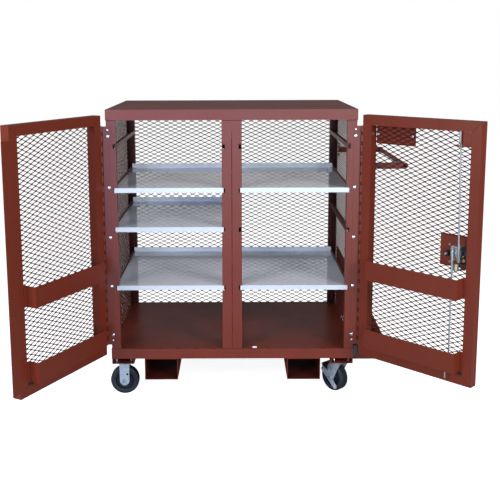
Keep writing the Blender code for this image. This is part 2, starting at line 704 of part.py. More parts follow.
def build_casters(root, bodies, zinc, rubber):
    wheel = wheel_mesh()
    for end, y in (("front", CASTER_Y), ("rear", DEPTH - CASTER_Y)):
        smooth(rigid_fork(f"rigid_fork_{end}", y, root, zinc))
        smooth(swivel_plate(f"swivel_plate_{end}", y, root, zinc))
        smooth(swivel_fork(f"swivel_fork_{end}", bodies[f"swivel_{end}"], zinc))
        brake_pedal(f"brake_pedal_{end}", bodies[f"pedal_{end}"], rubber)
        for side in ("left", "right"):
            smooth(node(f"caster_wheel_{side}_{end}", wheel, bodies[f"wheel_{side}_{end}"],
                        rubber))


def centre_on_origin(root):
    """Move the cabinet so that the whole object stands centred on the floor."""
    bpy.context.view_layer.update()
    graph = bpy.context.evaluated_depsgraph_get()
    spots = []
    for piece in bpy.context.scene.objects:
        if piece.type == "MESH" and not piece.hide_render:
            solid = piece.evaluated_get(graph)
            spots += [piece.matrix_world @ v.co for v in solid.data.vertices]
    for axis in (0, 1):
        values = [spot[axis] for spot in spots]
        root.location[axis] = -(min(values) + max(values)) / 2
    bpy.context.view_layer.update()


def main():
    for old in list(bpy.data.objects):
        bpy.data.objects.remove(old, do_unlink=True)
    paint = material("brown_paint", PAINT, 0.42, 0.0)
    grey = material("shelf_finish", SHELF_GREY, 0.30, 0.2)
    zinc = material("zinc_plate", ZINC, 0.35, 0.9)
    rubber = material("dark_rubber", RUBBER, 0.60, 0.0)
    root = empty("cabinet", None, (0, 0, CLEARANCE))
    bodies = build_bodies(root)
    build_frame(root, paint)
    shelves(bodies, grey)
    build_doors(root, bodies, paint, zinc)
    build_casters(root, bodies, zinc, rubber)
    push_handle(root, paint)
    wing_gussets(root, paint)
    bumper(root, rubber)
    centre_on_origin(root)


main()
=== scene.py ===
import json
import math

import bmesh
import bpy
import numpy as np
from mathutils import Matrix, Vector


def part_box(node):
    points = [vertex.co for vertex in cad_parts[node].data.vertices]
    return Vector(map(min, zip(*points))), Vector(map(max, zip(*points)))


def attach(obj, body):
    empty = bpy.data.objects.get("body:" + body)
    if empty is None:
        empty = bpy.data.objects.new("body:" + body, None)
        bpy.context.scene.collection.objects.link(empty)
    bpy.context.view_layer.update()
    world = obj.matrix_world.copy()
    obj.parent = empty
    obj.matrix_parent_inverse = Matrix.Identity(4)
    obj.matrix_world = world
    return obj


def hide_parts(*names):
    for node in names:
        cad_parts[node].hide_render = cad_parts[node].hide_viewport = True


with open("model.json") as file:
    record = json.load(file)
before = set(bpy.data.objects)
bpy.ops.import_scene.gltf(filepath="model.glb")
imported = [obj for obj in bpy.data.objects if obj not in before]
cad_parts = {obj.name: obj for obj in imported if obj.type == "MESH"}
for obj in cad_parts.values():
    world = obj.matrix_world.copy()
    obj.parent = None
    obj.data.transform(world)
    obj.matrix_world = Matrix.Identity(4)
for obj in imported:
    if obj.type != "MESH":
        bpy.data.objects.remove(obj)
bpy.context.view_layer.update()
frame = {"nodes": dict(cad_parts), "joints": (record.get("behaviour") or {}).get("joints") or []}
NODES = frame["nodes"]
JOINTS = {joint["name"]: joint for joint in frame["joints"]}

# ------------------------------------------------------------ places and sizes
# Cabinet coordinates: X from the middle, Y back from the posts' front face, Z up
# from the underside of the base. Door coordinates: X along the closed door from
# its pivot, Y inwards, Z as before. All in metres.
GAP = 0.0003
DEPTH, TOP = 0.817, 1.308
FLOOR_TOP, FLANGE = 0.054, 0.0534
POST_OUT, POST_FACE, POST_DEEP = 0.632, 0.0465, 0.042
POST_IN = POST_OUT - POST_FACE
CENTRE_HALF = 0.051
CHANNEL_LOW, CHANNEL_WALL = -0.0295, 0.003
PIVOT_X, PIVOT_Y, KNUCKLE = 0.6549, -0.0075, 0.006
HINGE_LOW, HINGE_HIGH = 0.0785, 1.2247
DOOR_NEAR, DOOR_FAR, DOOR_LOW, DOOR_HIGH = 0.0066, 0.652, 0.0294, 1.2804
DOOR_FACE, DOOR_THICK, STILE = 0.0025, 0.0469, 0.050
DOOR_REAR = DOOR_FACE - DOOR_THICK
CAM_AT, CAM_Z, ROD_OFFSET, ROD_RUN = 0.543, 0.664, 0.011, 0.0048
ROD_SLANT = 0.010            # how far the upper rod leans out towards the stile
WHEEL_RADIUS, WHEEL_HALF, WHEEL_Z = 0.0762, 0.0254, -0.1438
CASTER_X, CASTER_Y, TRAIL = 0.578, 0.085, 0.038
LEG_IN, LEG_WALL = 0.0294, 0.004             # legs of a caster fork
LEG_OUT = LEG_IN + LEG_WALL
PLATE_TOP, PLATE_THICK = CHANNEL_LOW - GAP, 0.006
BOLT_GRID = (0.0395, 0.0375)                 # half the bolt spacing of a caster plate
MESH_LONG, MESH_SHORT = 0.0508, 0.0234       # pitch of the expanded metal
STRAND_THICK = 0.0016
LEVELS = (1.134, 0.909, 0.705, 0.396)        # tops of the four shelf positions
NOTCH_DEEP, NOTCH_TALL = 0.0165, 0.0254
SHELVED = {"left": (1, 2, 3), "right": (1, 3)}
SHELF_OUT = 0.598                            # shelf edge beside the wall
SEAM_SLOTS = ((1.164, 0.996), (0.986, 0.874), (0.860, 0.715), (0.690, 0.590),
              (0.510, 0.440), (0.430, 0.345), (0.250, 0.145))
HANDLE_Y, HANDLE_Z, HANDLE_REACH, HANDLE_TALL = 0.046, 1.0145, 0.8875, 0.033


def cabinet_matrix():
    """Cabinet coordinates in the row frame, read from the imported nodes."""
    low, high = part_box("base_pan")
    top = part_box("top_panel")[1]
    return Matrix.Translation(((low.x + high.x) / 2, low.y, top.z - TOP))


def door_matrix(joint_name):
    """Door coordinates in the row frame: the hinge axis and the stored opening angle."""
    joint = JOINTS[joint_name]
    pivot = Vector(joint["pos_m"])
    angle = -math.radians(joint["range_deg"][0]) * joint["axis"][2]
    spot = Matrix.Translation((pivot.x, pivot.y, CABINET.translation.z))
    return spot @ Matrix.Rotation(angle, 4, "Z")


def swivel_matrix(end):
    """Axes of a swivel caster: X trails towards the wheel, Y along its axle."""
    pivot = Vector(JOINTS[f"swivel_{end}_turn"]["pos_m"])
    axle = JOINTS[f"wheel_right_{end}_spin"]["axis"]
    angle = math.atan2(-axle[0], axle[1])
    spot = Matrix.Translation((pivot.x, pivot.y, CABINET.translation.z))
    return spot @ Matrix.Rotation(angle, 4, "Z")


CABINET = cabinet_matrix()
LEFT = door_matrix("left_door_hinge")
RIGHT = door_matrix("right_door_hinge")
DOORS = {"left": (LEFT, 1, "left_door"), "right": (RIGHT, -1, "right_door")}


# -------------------------------------------------------------- mesh building
def place(axis, u, v, along):
    """A point given in the plane square to an axis, and along that axis."""
    return {"X": (along, u, v), "Y": (u, along, v), "Z": (u, v, along)}[axis]


def add_prism(bm, outline, axis, low, high):
    """Extrude a flat outline along an axis."""
    verts = [bm.verts.new(place(axis, u, v, low)) for u, v in outline]
    face = bm.faces.new(verts)
    grown = bmesh.ops.extrude_face_region(bm, geom=[face])
    moved = [g for g in grown["geom"] if isinstance(g, bmesh.types.BMVert)]
    bmesh.ops.translate(bm, verts=moved, vec=place(axis, 0, 0, high - low))


def add_box(bm, x, y, z):
    (x0, x1), (y0, y1), (z0, z1) = sorted(x), sorted(y), sorted(z)
    add_prism(bm, [(x0, y0), (x1, y0), (x1, y1), (x0, y1)], "Z", z0, z1)


def add_ngon(bm, radius, sides, axis, centre, low, high, turn=0.0):
    """A round bar, or with six sides a nut, centred on a place square to its axis."""
    ring = [(centre[0] + radius * math.cos(turn + math.tau * i / sides),
             centre[1] + radius * math.sin(turn + math.tau * i / sides))
            for i in range(sides)]
    add_prism(bm, ring, axis, low, high)


def add_turned(bm, profile, axis, centre, steps=24):
    """Spin an open profile of (radius, along) from axis to axis, closing both ends."""
    rings = []
    for radius, along in profile:
        if radius < 1e-7:
            rings.append([bm.verts.new(place(axis, *centre, along))])
            continue
        rings.append([bm.verts.new(place(
            axis, centre[0] + radius * math.cos(math.tau * i / steps),
            centre[1] + radius * math.sin(math.tau * i / steps), along))
            for i in range(steps)])
    for low, high in zip(rings, rings[1:]):
        for i in range(steps):
            j = (i + 1) % steps
            corners = []
            for ring, k in ((low, i), (low, j), (high, j), (high, i)):
                vert = ring[k] if len(ring) > 1 else ring[0]
                if vert not in corners:
                    corners.append(vert)
            bm.faces.new(corners)


def add_dome(bm, radius, tall, axis, centre, low, side=1, steps=16):
    """A domed bolt head standing on a face."""
    profile = [(0, low), (radius, low), (radius, low + side * tall * 0.18)]
    profile += [(radius * math.cos(a), low + side * tall * (0.18 + 0.82 * math.sin(a)))
                for a in (math.radians(k) for k in (25, 50, 72))]
    add_turned(bm, profile + [(0, low + side * tall)], axis, centre, steps)


def piece(name, bm, matrix, mat, body, smooth=35, bevel=0.0):
    """Finish a bmesh as a piece that rides on a body."""
    bmesh.ops.recalc_face_normals(bm, faces=bm.faces)
    mesh = bpy.data.meshes.new(name)
    bm.to_mesh(mesh)
    bm.free()
    mesh.materials.append(mat)
    made = bpy.data.objects.new(name, mesh)
    bpy.context.scene.collection.objects.link(made)
    made.matrix_world = matrix
    if bevel:
        soften(made, bevel)
    if smooth:
        mesh.shade_smooth()
        mesh.set_sharp_from_angle(angle=math.radians(smooth))
    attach(made, body)
    return made


def soften(thing, width):
    """A small rounded edge on every sharp corner."""
    edge = thing.modifiers.new("edge", "BEVEL")
    edge.width = width
    edge.segments = 2
    edge.limit_method = "ANGLE"
    edge.angle_limit = math.radians(40)
    edge.harden_normals = True


def tube(name, points, radius, matrix, mat, body):
    """A round bar along a smooth poly line."""
    curve = bpy.data.curves.new(name, "CURVE")
    curve.dimensions = "3D"
    curve.bevel_depth = radius
    curve.bevel_resolution = 6
    curve.use_fill_caps = True
    spline = curve.splines.new("POLY")
    spline.points.add(len(points) - 1)
    for spot, where in zip(spline.points, points):
        spot.co = (*where, 1.0)
    spline.use_smooth = True
    curve.materials.append(mat)
    made = bpy.data.objects.new(name, curve)
    bpy.context.scene.collection.objects.link(made)
    made.matrix_world = matrix
    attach(made, body)
    return made


def rounded(corners, radius, steps=6):
    """Points along a bent rod, its corners rounded by arcs of the given radius."""
    path = [Vector(c) for c in corners]
    points = [path[0]]
    for before, here, after in zip(path, path[1:], path[2:]):
        a, b = (before - here).normalized(), (after - here).normalized()
        half = a.angle(b) / 2
        reach = radius / math.tan(half)
        start, end = here + a * reach, here + b * reach
        for i in range(steps + 1):
            t = i / steps
            points.append(start * (1 - t) ** 2 + here * 2 * t * (1 - t) + end * t ** 2)
    return points + [path[-1]]


# ------------------------------------------------------------------ materials
def new_material(name):
    mat = bpy.data.materials.new(name)
    mat.use_nodes = True
    return mat, mat.node_tree.nodes, mat.node_tree.links


def noise(nodes, links, scale, detail=3.0, rough=0.5):
    """Object-space noise, its scale in cycles per metre."""
    spot = nodes.new("ShaderNodeTexCoord")
    made = nodes.new("ShaderNodeTexNoise")
    made.inputs["Scale"].default_value = scale
    made.inputs["Detail"].default_value = detail
    made.inputs["Roughness"].default_value = rough
    links.new(spot.outputs["Object"], made.inputs["Vector"])
    return made.outputs["Fac"]


def spread(nodes, links, value, low, high):
    """Map noise around one half to a range."""
    made = nodes.new("ShaderNodeMapRange")
    made.inputs["From Min"].default_value = 0.3
    made.inputs["From Max"].default_value = 0.7
    made.inputs["To Min"].default_value = low
    made.inputs["To Max"].default_value = high
    links.new(value, made.inputs["Value"])
    return made.outputs["Result"]


def two_tone(nodes, links, value, low, high):
    ramp = nodes.new("ShaderNodeValToRGB")
    ramp.color_ramp.elements[0].position = 0.3
    ramp.color_ramp.elements[0].color = (*low, 1)
    ramp.color_ramp.elements[1].position = 0.7
    ramp.color_ramp.elements[1].color = (*high, 1)
    links.new(value, ramp.inputs["Fac"])
    return ramp.outputs["Color"]


def bump(nodes, links, value, distance, strength):
    made = nodes.new("ShaderNodeBump")
    made.inputs["Distance"].default_value = distance
    made.inputs["Strength"].default_value = strength
    links.new(value, made.inputs["Height"])
    return made.outputs["Normal"]


def paint_material(name, dark, light, rough=(0.34, 0.40), peel=0.00008, gloss=0.42):
    """Sprayed enamel: slow colour drift and orange peel."""
    mat, nodes, links = new_material(name)
    shader = nodes["Principled BSDF"]
    links.new(two_tone(nodes, links, noise(nodes, links, 4, 3), dark, light),
              shader.inputs["Base Color"])
    links.new(spread(nodes, links, noise(nodes, links, 9, 3), *rough),
              shader.inputs["Roughness"])
    links.new(bump(nodes, links, noise(nodes, links, 420, 2), peel, 0.6),
              shader.inputs["Normal"])
    shader.inputs["Specular IOR Level"].default_value = gloss
    return mat


def painted_shade_coat(name, centre, plane, limit):
    """Dull brown enamel with painted shade: darker on faces that look towards a centre line."""
    mat = paint_material(name, *PAINT_TONES, gloss=0.18)
    nodes, links = mat.node_tree.nodes, mat.node_tree.links
    shader = nodes["Principled BSDF"]
    spot = nodes.new("ShaderNodeTexCoord")
    towards = nodes.new("ShaderNodeVectorMath")
    towards.operation = "SUBTRACT"
    towards.inputs[0].default_value = centre
    links.new(spot.outputs["Object"], towards.inputs[1])
    flat = nodes.new("ShaderNodeVectorMath")
    flat.operation = "MULTIPLY"
    flat.inputs[1].default_value = plane
    links.new(towards.outputs[0], flat.inputs[0])
    facing = nodes.new("ShaderNodeVectorMath")
    facing.operation = "DOT_PRODUCT"
    links.new(flat.outputs[0], facing.inputs[0])
    links.new(spot.outputs["Normal"], facing.inputs[1])
    shade_mask = nodes.new("ShaderNodeMath")
    shade_mask.operation = "GREATER_THAN"
    shade_mask.inputs[1].default_value = limit
    links.new(facing.outputs["Value"], shade_mask.inputs[0])
    usual = shader.inputs["Base Color"].links[0].from_socket
    # Painted shade colour, mixed in on the faces that look towards the centre.
    mix = nodes.new("ShaderNodeMixRGB")
    mix.inputs["Color2"].default_value = (0.068, 0.0118, 0.0076, 1)
    links.new(shade_mask.outputs[0], mix.inputs["Fac"])
    links.new(usual, mix.inputs["Color1"])
    links.new(mix.outputs["Color"], shader.inputs["Base Color"])
    return mat


def shelf_material():
    """Smooth pale enamel with a clear gloss and faint handling marks."""
    mat, nodes, links = new_material("shelf_enamel")
    shader = nodes["Principled BSDF"]
    links.new(two_tone(nodes, links, noise(nodes, links, 5, 4),
                       (0.570, 0.590, 0.660), (0.610, 0.630, 0.700)),
              shader.inputs["Base Color"])
    links.new(spread(nodes, links, noise(nodes, links, 20, 5), 0.045, 0.075),
              shader.inputs["Roughness"])
    links.new(bump(nodes, links, noise(nodes, links, 60, 2), 0.00003, 0.4),
              shader.inputs["Normal"])
    return mat


def metal_material(name, dark, light, rough=(0.22, 0.42), metallic=1.0):
    """Plated metal with a clouded, lightly marked surface."""
    mat, nodes, links = new_material(name)
    shader = nodes["Principled BSDF"]
    links.new(two_tone(nodes, links, noise(nodes, links, 55, 5, 0.6), dark, light),
              shader.inputs["Base Color"])
    links.new(spread(nodes, links, noise(nodes, links, 120, 5), *rough),
              shader.inputs["Roughness"])
    links.new(bump(nodes, links, noise(nodes, links, 240, 4), 0.00008, 0.7),
              shader.inputs["Normal"])
    shader.inputs["Metallic"].default_value = metallic
    return mat


def rubber_material(name, dark, light, rough=(0.45, 0.70)):
    """Hard rubber with a fine moulded grain and scuffed lighter patches."""
    mat, nodes, links = new_material(name)
    shader = nodes["Principled BSDF"]
    links.new(two_tone(nodes, links, noise(nodes, links, 45, 6, 0.65), dark, light),
              shader.inputs["Base Color"])
    links.new(spread(nodes, links, noise(nodes, links, 90, 4), *rough),
              shader.inputs["Roughness"])
    links.new(bump(nodes, links, noise(nodes, links, 700, 4), 0.0002, 0.5),
              shader.inputs["Normal"])
    return mat


PAINT_TONES = ((0.150, 0.0205, 0.0085), (0.162, 0.0230, 0.0100))
PAINT = paint_material("brown_enamel", *PAINT_TONES)
# Darker, duller brown enamel of the mesh strands, also used as painted shade on the moving hinge
# leaves and the lock plate folds.
MESH_AND_SHADE_PAINT = paint_material("mesh_and_shade_enamel", (0.058, 0.0100, 0.0066), (0.078, 0.0135, 0.0085),
                            rough=(0.42, 0.50), gloss=0.18)
# Dark red painted shade for the gap of the centre seam.
SEAM_SHADE = paint_material("seam_painted_shade", (0.092, 0.0080, 0.0065), (0.112, 0.0100, 0.0080),
                      rough=(0.5, 0.6), gloss=0.10)
# Near-black painted shadow that fills the shelf notches and the spare fork holes.
SHADOW_FILL = paint_material("painted_shadow_fill", (0.0040, 0.0022, 0.0022), (0.0065, 0.0030, 0.0030),
                        rough=(0.8, 0.9), gloss=0.02)
# Darker copy of the brown enamel: painted shade for the shelf rails and their lips inside the
# cabinet.
RAIL_SHADE_PAINT = paint_material("rail_painted_shade", (0.092, 0.0150, 0.0095), (0.108, 0.0180, 0.0110))
WELD = paint_material("painted_weld", (0.085, 0.0090, 0.0055), (0.120, 0.0140, 0.0085),
                      rough=(0.35, 0.45), peel=0.0003, gloss=0.2)
SHELF = shelf_material()
ZINC = metal_material("bright_zinc", (0.40, 0.42, 0.44), (0.58, 0.60, 0.63), metallic=0.8)
PLATE = metal_material("dull_zinc", (0.46, 0.52, 0.60), (0.72, 0.78, 0.86), rough=(0.34, 0.5),
                       metallic=0.55)
ROD = metal_material("rod_zinc", (0.27, 0.27, 0.27), (0.38, 0.38, 0.38), rough=(0.34, 0.48),
                     metallic=0.55)
BOLT = metal_material("bolt_zinc", (0.70, 0.76, 0.82), (0.86, 0.91, 0.96), rough=(0.15, 0.30))
BRASS = metal_material("yellow_zinc", (0.55, 0.40, 0.14), (0.78, 0.62, 0.26))
PALE_BRASS = metal_material("pale_brass", (0.62, 0.52, 0.34), (0.80, 0.70, 0.50), metallic=0.6)
BLACK = rubber_material("black_enamel", (0.012, 0.012, 0.014), (0.03, 0.03, 0.034),
                        rough=(0.3, 0.5))
WHEEL = rubber_material("wheel_rubber", (0.003, 0.004, 0.008), (0.008, 0.009, 0.017))
TREAD = rubber_material("wheel_tread", (0.008, 0.010, 0.016), (0.018, 0.021, 0.031))
BUMPER = rubber_material("bumper_rubber", (0.018, 0.019, 0.019), (0.036, 0.037, 0.037))


# --------------------------------------------------------------- CAD node looks
def dress(names, mat, bevel=0.0):
    """Give CAD nodes their material in their first slot, and softened edges."""
    for name in names:
        thing = NODES[name]
        thing.material_slots[0].material = mat
        if bevel:
            soften(thing, bevel)


def dress_nodes():
    """Materials of the CAD nodes that stay in view."""
    starts = ("top_panel", "base_pan", "post_front", "centre_divider", "lock_plate",
              "rod_guide", "overlap_strip", "blank_plate", "door_bin")
    painted = [n for n in NODES if n.startswith(starts)]
    dress(painted, PAINT, bevel=0.0007)
    # Rear posts: painted shade on the faces that look in towards the middle of the cabinet.
    middle = CABINET @ Vector((0, DEPTH / 2, 0))
    inside = painted_shade_coat("painted_shade_coat", middle, (1, 1, 0), 0.3)
    dress([n for n in NODES if n.startswith("post_rear")], inside, bevel=0.0007)
    # Fork pockets: painted shade on the faces that look into each pocket.
    for name in [n for n in NODES if n.startswith("fork_pocket")]:
        low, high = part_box(name)
        inside = painted_shade_coat(f"{name}_coat", (low + high) / 2, (1, 0, 1), 0.001)
        dress([name], inside, bevel=0.0007)
    dress([n for n in NODES if n.startswith("shelf_rail")], RAIL_SHADE_PAINT,
          bevel=0.0004)
    dress([n for n in NODES if n.startswith("door_frame")], PAINT, bevel=0.0011)
    dress([n for n in NODES if n.startswith(("shelf_left", "shelf_right"))], SHELF,
          bevel=0.0008)
    dress(["rubber_bumper"], BUMPER, bevel=0.0015)
    dress(["rigid_fork_front", "rigid_fork_rear", "swivel_fork_front", "swivel_fork_rear",
           "swivel_plate_front", "swivel_plate_rear"],
          PLATE, bevel=0.0008)
    dress(["lock_case", "latch_lever"], ZINC, bevel=0.0008)
    dress(["brake_pedal_front", "brake_pedal_rear"], BLACK, bevel=0.0008)


# --------------------------------------------------------------- expanded metal
def expanded_metal(name, size, matrix, body, node, strand=0.0037, lean=31):
    """A sheet of raised diamond mesh filling size = (wide, tall) in its own XZ plane.

    Each strand runs from one bond to the next and is tilted like a louvre; the
    strands above a bond lie in front of those below it.
    """
    wide, tall = size
    columns = int(round(wide / (MESH_LONG / 2)))
    rows = int(round(tall / (MESH_SHORT / 2)))
    step_x, step_z = wide / columns, tall / rows
    tilt = math.radians(lean)
    across = np.array((0.0, -math.sin(tilt), math.cos(tilt)))
    bond = 0.0042
    corners = []
    for i in range(columns):
        for j in range(rows + 1):
            if (i + j) % 2:
                continue
            for rise in (1, -1):
                if not 0 <= j + rise <= rows:
                    continue
                start = np.array((i * step_x, 0.0, j * step_z))
                end = np.array(((i + 1) * step_x, 0.0, (j + rise) * step_z))
                shift = across * (rise * strand / 2)
                corners.append((start + shift, end - shift))
    ends = np.array(corners)
    run = np.array((bond, 0.0, 0.0))
    path = np.stack((ends[:, 0], ends[:, 0] + run, ends[:, 1] - run, ends[:, 1]), axis=1)
    along = ends[:, 1] - ends[:, 0]
    thick = np.cross(along, across)
    thick /= np.linalg.norm(thick, axis=1)[:, None]
    w = across * strand / 2
    t = thick[:, None, :] * STRAND_THICK / 2
    ring = np.stack((path - w - t, path + w - t, path + w + t, path - w + t), axis=2)
    verts = ring.reshape(-1, 3)
    sides = [(4 * s + k, 4 * s + (k + 1) % 4, 4 * s + 4 + (k + 1) % 4, 4 * s + 4 + k)
             for s in range(3) for k in range(4)]
    local = np.array(sides + [(3, 2, 1, 0), (12, 13, 14, 15)])
    faces = (local[None] + 16 * np.arange(len(ends))[:, None, None]).reshape(-1, 4)
    mesh = bpy.data.meshes.new(name)
    mesh.from_pydata(verts.tolist(), [], faces.tolist())
    mesh.materials.append(MESH_AND_SHADE_PAINT)
    made = bpy.data.objects.new(name, mesh)
    bpy.context.scene.collection.objects.link(made)
    made.matrix_world = matrix
    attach(made, body)
    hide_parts(node)
    return made


def turned_at(x, y, z, angle):
    return Matrix.Translation((x, y, z)) @ Matrix.Rotation(math.radians(angle), 4, "Z")


def wall_meshes():
    """Expanded metal of the two sides and the back."""
    low, high = FLOOR_TOP, TOP - 0.004
    outer = POST_OUT - 0.0025 - 0.0015
    for side, word in ((-1, "left"), (1, "right")):
        matrix = CABINET @ turned_at(side * outer, 0.020, low, 90)
        expanded_metal(f"side_grid_{word}", (DEPTH - 0.040, high - low), matrix, "cabinet",
                       f"side_mesh_{word}", strand=0.0038, lean=56)
    half = POST_IN + 0.015
    matrix = CABINET @ turned_at(-half, DEPTH + 0.0012, FLOOR_TOP - 0.020, 0)
    expanded_metal("back_grid", (2 * half, TOP - FLANGE - FLOOR_TOP + 0.019), matrix,
                   "cabinet", "back_mesh")


def door_meshes():
    """Expanded metal of the two doors, inside their frames."""
    for word, (matrix, hand, body) in DOORS.items():
        near = DOOR_NEAR + STILE
        wide = DOOR_FAR - DOOR_NEAR - 2 * STILE
        x = near if hand > 0 else -near - wide
        spot = Matrix.Translation((x, DOOR_REAR + 0.0022, DOOR_LOW + STILE))
        expanded_metal(f"door_grid_{word}", (wide, DOOR_HIGH - DOOR_LOW - 2 * STILE),
                       matrix @ spot, body, f"door_mesh_{word}", strand=0.0042)


# --------------------------------------------------------------- shelf openings
def notch_shadows():
    """Black painted shadow behind the shelf notches, and a dark red strip of painted shade along
    the joint line of the front centre post.
    """
    bm = bmesh.new()
    for level in LEVELS:
        for side in (-1, 1):
            add_box(bm, (side * (CENTRE_HALF - NOTCH_DEEP + 0.0004), side * (CENTRE_HALF - 0.0012)),
                    (0.0090, 0.0102), (level - NOTCH_TALL + 0.0006, level - 0.0022))
    for word, side in (("left", -1), ("right", 1)):
        for index in SHELVED[word]:
            add_box(bm, (side * (SHELF_OUT + 0.0004), side * (POST_IN + NOTCH_DEEP - 0.0004)),
                    (0.0070, 0.0082), (LEVELS[index] - NOTCH_TALL + 0.0006,
                                       LEVELS[index] - 0.0004))
    piece("notch_shadows", bm, CABINET, SHADOW_FILL, "cabinet", smooth=0)
    seam = bmesh.new()
    for high, low in SEAM_SLOTS:
        add_box(seam, (-0.0021, 0.0021), (-0.0003, 0.0010), (low, high))
    piece("centre_seam_shadow", seam, CABINET, SEAM_SHADE, "cabinet", smooth=0)


def rail_lips():
    """Turned-up outer lips of the wall rails that guide a shelf."""
    bm = bmesh.new()
    for word, side in (("left", -1), ("right", 1)):
        for index in SHELVED[word]:
            x = POST_IN + NOTCH_DEEP
            add_box(bm, (side * (x + 0.0006), side * (x + 0.0024)), (0.046, 0.768),
                    (LEVELS[index] - 0.024, LEVELS[index] + 0.009))
    piece("rail_lips", bm, CABINET, RAIL_SHADE_PAINT, "cabinet", bevel=0.0004)


def lock_plate_folds():
    """Folded edges along the top and bottom of the lock plate, darkened as painted shade."""
    bm = bmesh.new()
    rear = DOOR_REAR + 0.0052
    for low, high in ((0.734, 0.738), (0.587, 0.591)):
        add_box(bm, (-0.598, -0.443), (rear, rear + 0.0030), (low, high))
    piece("lock_plate_folds", bm, RIGHT, MESH_AND_SHADE_PAINT, "right_door", bevel=0.0004)


# --------------------------------------------------------------------- hinges
def hinge_knuckles():
    """Leaves and interleaved knuckles of the two continuous hinges, with their bolts."""
    count, gap = 45, 0.0011
    pitch = (HINGE_HIGH - HINGE_LOW) / count
    for word, (matrix, hand, body) in DOORS.items():
        fixed, moving = bmesh.new(), bmesh.new()
        flat = (-PIVOT_Y - GAP - 0.0015, -PIVOT_Y - GAP)
        add_box(fixed, (hand * (PIVOT_X - 0.617), hand * 0.0066), flat,
                (HINGE_LOW, HINGE_HIGH))
        add_box(moving, (hand * 0.0046, hand * 0.0064), (-0.0066, DOOR_REAR + 0.006),
                (HINGE_LOW, HINGE_HIGH))
        add_box(fixed, (hand * 0.0068, hand * 0.0026), (flat[1] - 0.0012, flat[1]),
                (HINGE_LOW, HINGE_HIGH))
        for i in range(count):
            low, high = HINGE_LOW + i * pitch + gap, HINGE_LOW + (i + 1) * pitch - gap
            target = moving if i % 2 else fixed
            add_ngon(target, KNUCKLE, 18, "Z", (0, 0), low, high)
            if i % 2:
                add_box(moving, (hand * 0.0046, hand * 0.0064), (-0.0068, 0.0), (low, high))
            else:
                add_box(fixed, (hand * 0.0068, 0.0), flat, (low, high))
        add_ngon(fixed, 0.0030, 14, "Z", (0, 0), HINGE_LOW - 0.002, HINGE_HIGH + 0.002)
        spot = CABINET @ Matrix.Translation((-hand * PIVOT_X, PIVOT_Y, 0))
        made = piece(f"hinge_post_leaf_{word}", fixed, spot, PAINT, "cabinet",
                     bevel=0.0004)
        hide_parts(f"hinge_{word}")
        # The moving leaf and its knuckles take the darker enamel as painted shade between the fixed
        # knuckles.
        piece(f"hinge_door_leaf_{word}", moving, matrix, MESH_AND_SHADE_PAINT, body,
              bevel=0.0004)
        bolts = bmesh.new()
        for radius, tall, heights in ((0.0078, 0.0019, (1.174, 0.912, 0.652, 0.394, 0.132)),
                                      (0.0050, 0.0017, (1.206, 0.102))):
            for z in heights:
                add_dome(bolts, radius, tall, "Y", (-hand * 0.6243, z), -0.0018, -1)
        piece(f"hinge_bolts_{word}", bolts, CABINET, BOLT, "cabinet")


# ---------------------------------------------------------------------- casters
def wheel(name, matrix, body, node):
    """Moulded wheel: crowned tread, rim, dished web with a raised ring, and hub."""
    r, half, hub = WHEEL_RADIUS - 0.0004, WHEEL_HALF, LEG_IN - 0.0008
    side = [(0.0068, hub), (0.0150, hub), (0.0165, hub - 0.0015), (0.0175, half - 0.0085),
            (0.0270, half - 0.0125), (0.0310, half - 0.0130), (0.0330, half - 0.0060),
            (0.0410, half - 0.0050), (0.0425, half - 0.0150), (0.0475, half - 0.0150),
            (0.0495, half - 0.0022), (0.0540, half - 0.0006), (r - 0.0100, half - 0.0006)]
    edge = [(r - 0.0085 + 0.0082 * math.sin(a), half - 0.0092 + 0.0086 * math.cos(a))
            for a in (math.radians(k) for k in (8, 28, 48, 68, 88))]
    upper = side + edge + [(r, 0.008)]
    profile = upper + [(radius, -along) for radius, along in reversed(upper)]
    bm = bmesh.new()
    steps = 72
    rings = [[bm.verts.new((radius * math.cos(math.tau * i / steps), along,
                            radius * math.sin(math.tau * i / steps))) for i in range(steps)]
             for radius, along in profile]
    first_tread = len(side) - 3
    for k, low in enumerate(rings):
        high = rings[(k + 1) % len(rings)]
        mirrored = k if k < len(upper) else len(profile) - 2 - k
        for i in range(steps):
            j = (i + 1) % steps
            face = bm.faces.new((low[i], low[j], high[j], high[i]))
            face.material_index = int(mirrored >= first_tread)
    made = piece(name, bm, matrix, WHEEL, body, smooth=40)
    made.data.materials.append(TREAD)
    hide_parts(node)
    return made


def nut_and_washer(bm, axis, centre, base, side, size=0.0105, tall=0.008):
    """A washer, a chamfered hexagon nut and the bolt end standing out of it."""
    top = base + side * 0.0018
    add_ngon(bm, size * 1.15, 28, axis, centre, min(base, top), max(base, top))
    low, high = sorted((top, top + side * tall))
    add_ngon(bm, size, 6, axis, centre, low, high, turn=0.3)
    end = top + side * (tall + 0.0025)
    add_ngon(bm, size * 0.55, 18, axis, centre, *sorted((top, end)))


def axle_ends(name, matrix, x, body):
    """Axle bolt head and nut on the outside of a fork."""
    bm = bmesh.new()
    for side in (1, -1):
        nut_and_washer(bm, "Y", (x, WHEEL_Z), side * LEG_OUT, side, 0.0085, 0.0065)
    piece(name, bm, matrix, ZINC, body, smooth=35, bevel=0.0004)


def plate_bolts(name, matrix):
    """Four bolts that hold a caster plate in its channel, with nuts on top."""
    bm = bmesh.new()
    floor = CHANNEL_LOW + CHANNEL_WALL
    low = PLATE_TOP - PLATE_THICK
    for x in (-BOLT_GRID[0], BOLT_GRID[0]):
        for y in (-BOLT_GRID[1], BOLT_GRID[1]):
            nut_and_washer(bm, "Z", (x, y), floor, 1, 0.0085, 0.0075)
            add_ngon(bm, 0.0085, 6, "Z", (x, y), low - 0.0055, low)
    piece(name, bm, matrix, BOLT, "cabinet", smooth=35, bevel=0.0004)


